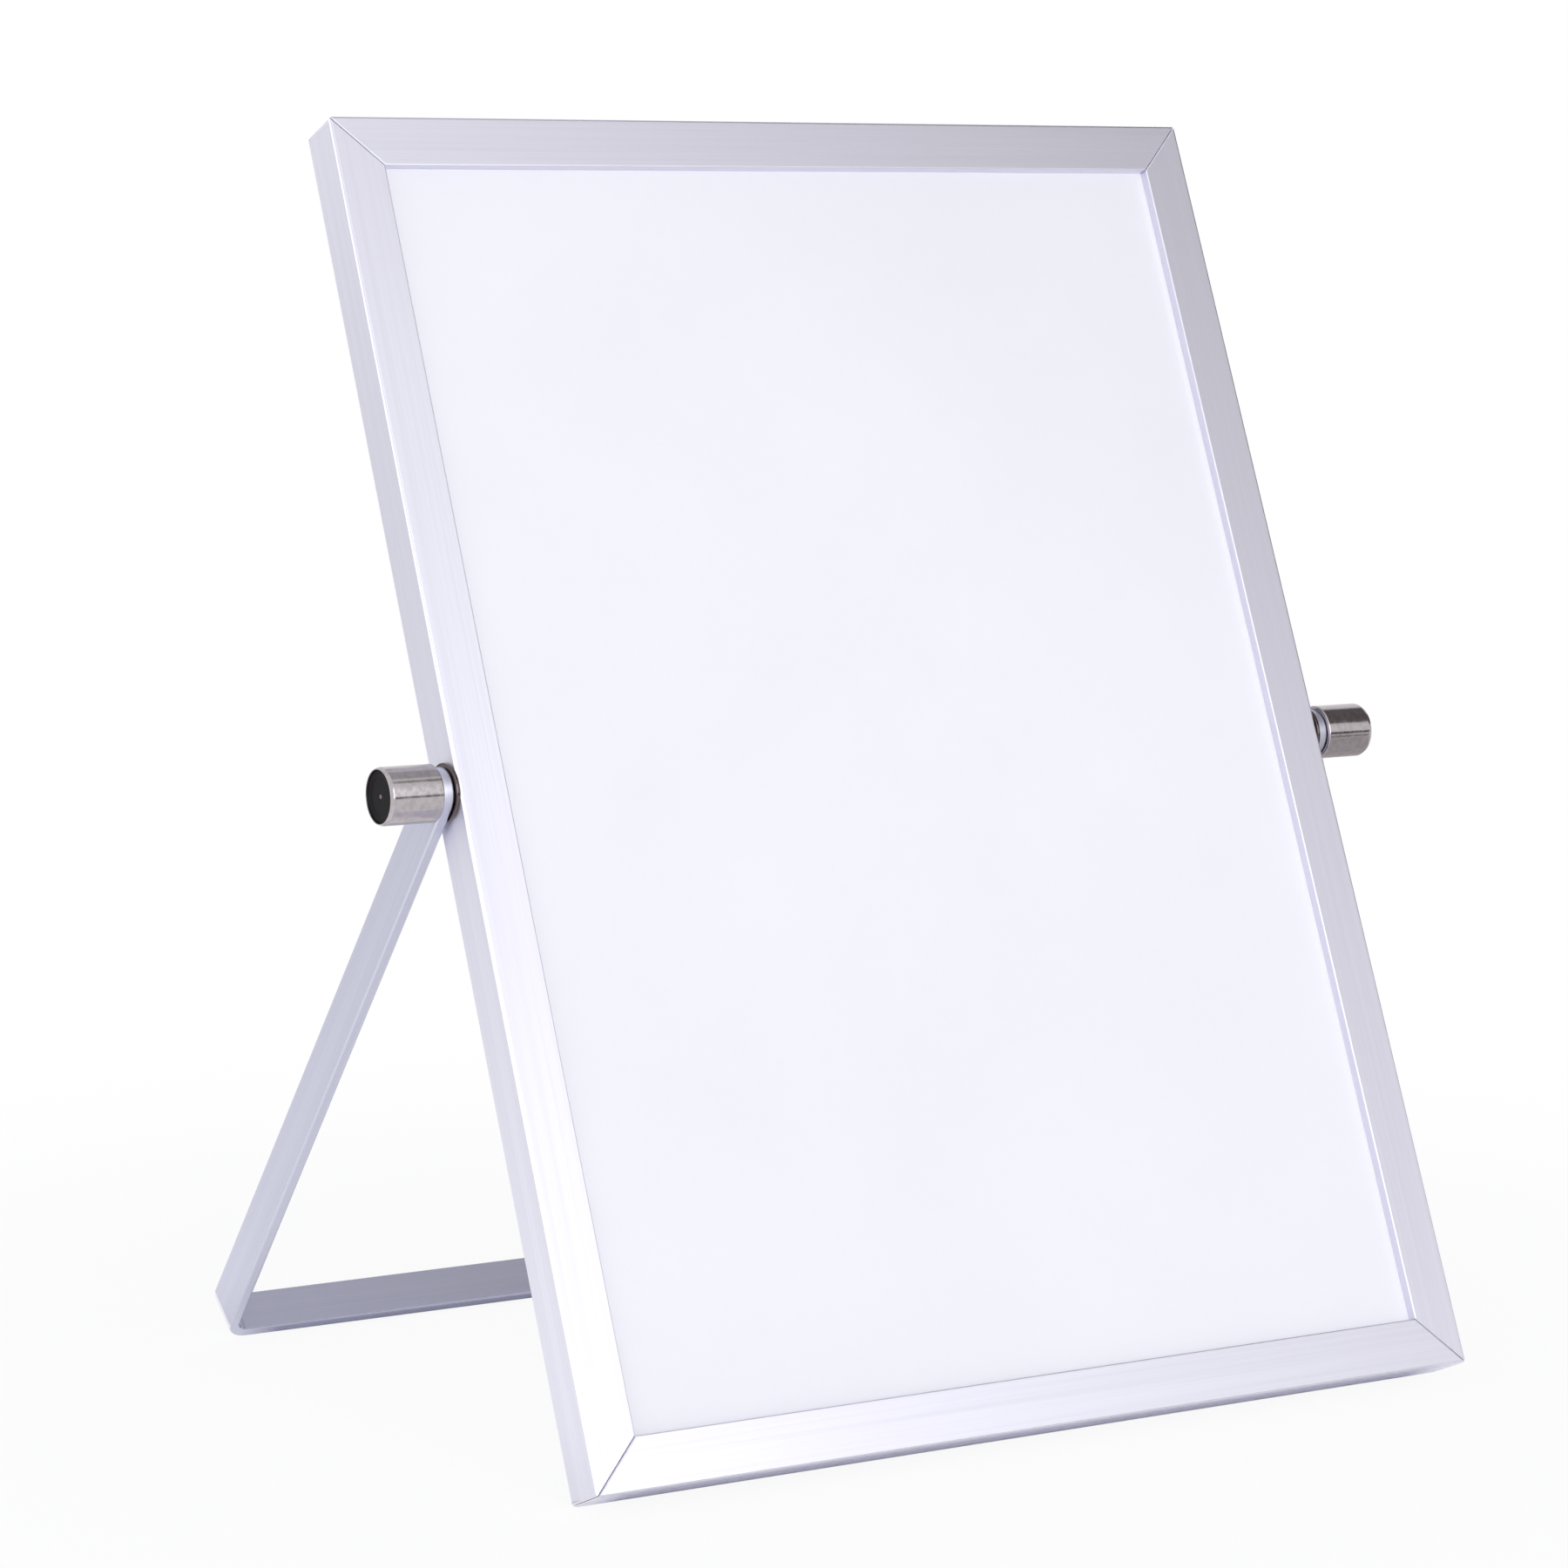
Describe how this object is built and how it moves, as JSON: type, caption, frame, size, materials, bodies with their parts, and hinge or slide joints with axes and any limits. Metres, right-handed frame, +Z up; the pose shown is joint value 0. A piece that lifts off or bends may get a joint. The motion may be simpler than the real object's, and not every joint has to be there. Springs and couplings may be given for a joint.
{
  "type": "magnetic desk whiteboard easel",
  "caption": "Double-sided magnetic board in a silver aluminium frame, leaning in a U-shaped strip stand and swinging on side pivots clamped by thumb knobs.",
  "frame": {"origin": "on the desk, in the middle of the easel's footprint: centre of the bounding box's bottom", "axes": "+X along the board's width to the writer's right, +Y away from the writer, +Z up"},
  "size_m": [0.297, 0.2088, 0.3253],
  "materials": {
    "frame": "satin silver anodised extrusion",
    "stand": "satin silver anodised strip",
    "enamel": "glossy white enamel on thin steel",
    "core": "fibreboard",
    "zinc": "zinc-plated steel",
    "key": "die-cast, as cast",
    "chrome": "bright chrome plate",
    "cap": "black moulded disc",
    "washer": "black nylon"
  },
  "bodies": {
    "stand": {"stand_strip": "stand"},
    "board": {"frame_top_rail": "frame", "frame_bottom_rail": "frame", "frame_left_stile": "frame", "frame_right_stile": "frame", "corner_key_top_left": "key", "corner_key_top_right": "key", "corner_key_bottom_left": "key", "corner_key_bottom_right": "key", "core_board": "core", "front_sheet": "enamel", "rear_sheet": "enamel", "spreader_plate_left": "zinc", "spreader_plate_right": "zinc", "pivot_bolt_left": "zinc", "pivot_bolt_right": "zinc", "pivot_collar_left": "chrome", "pivot_collar_right": "chrome"},
    "washer_left": {"friction_washer_left": "washer"},
    "knob_left": {"thumb_knob_left": "chrome", "knob_cap_left": "cap"},
    "washer_right": {"friction_washer_right": "washer"},
    "knob_right": {"thumb_knob_right": "chrome", "knob_cap_right": "cap"}
  },
  "joints": [
    {"name": "board_swing", "type": "hinge", "parent": "stand", "child": "board", "pos_m": [0, -0.02791, 0.16266], "axis": [1, 0, 0], "continuous": true},
    {"name": "knob_travel_left", "type": "slide", "parent": "board", "child": "washer_left", "axis": [-1, 0, 0], "range_m": [0, 0.0016]},
    {"name": "knob_turn_left", "type": "hinge", "parent": "washer_left", "child": "knob_left", "pos_m": [0, -0.02791, 0.16266], "axis": [-1, 0, 0], "range_deg": [0, 720]},
    {"name": "knob_travel_right", "type": "slide", "parent": "board", "child": "washer_right", "axis": [1, 0, 0], "range_m": [0, 0.0016]},
    {"name": "knob_turn_right", "type": "hinge", "parent": "washer_right", "child": "knob_right", "pos_m": [0, -0.02791, 0.16266], "axis": [1, 0, 0], "range_deg": [0, 720]}
  ],
  "couplings": [
    {"joint": "knob_turn_left", "follows": "knob_travel_left", "rad_per_m": 7854},
    {"joint": "knob_turn_right", "follows": "knob_travel_right", "rad_per_m": 7854}
  ]
}
